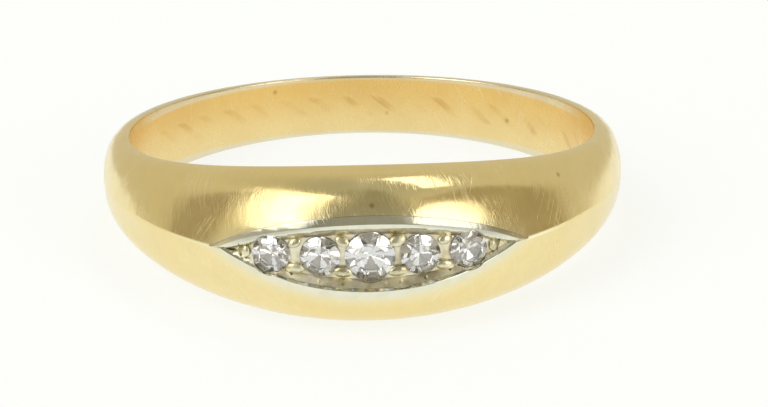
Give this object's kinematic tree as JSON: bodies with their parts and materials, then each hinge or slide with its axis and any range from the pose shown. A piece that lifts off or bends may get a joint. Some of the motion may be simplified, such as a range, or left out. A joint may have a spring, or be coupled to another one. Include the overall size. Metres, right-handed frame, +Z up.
{
  "type": "ring",
  "caption": "Tapered, domed yellow-gold finger ring with a boat-shaped white-metal plate let into its head, holding a row of graduated round stones with raised grains.",
  "frame": {"origin": "centre of the finger bore, halfway across the band's width", "axes": "+Z along the finger bore; -Y from the centre out through the centre stone; +X to the right, seen from the stones' side with +Z up"},
  "size_m": [0.019, 0.0203, 0.0056],
  "materials": {
    "yellow_gold": "polished, softly worn",
    "white_metal": "polished, bright-cut in the recess",
    "diamond": "clear, faceted"
  },
  "bodies": {
    "root": {"shank": "yellow_gold", "setting_plate": "white_metal", "stone_left_outer": "diamond", "stone_left_inner": "diamond", "stone_centre": "diamond", "stone_right_inner": "diamond", "stone_right_outer": "diamond", "grain_upper_1": "white_metal", "grain_upper_2": "white_metal", "grain_upper_3": "white_metal", "grain_upper_4": "white_metal", "grain_lower_1": "white_metal", "grain_lower_2": "white_metal", "grain_lower_3": "white_metal", "grain_lower_4": "white_metal", "grain_left_tip": "white_metal", "grain_right_tip": "white_metal"}
  },
  "joints": []
}
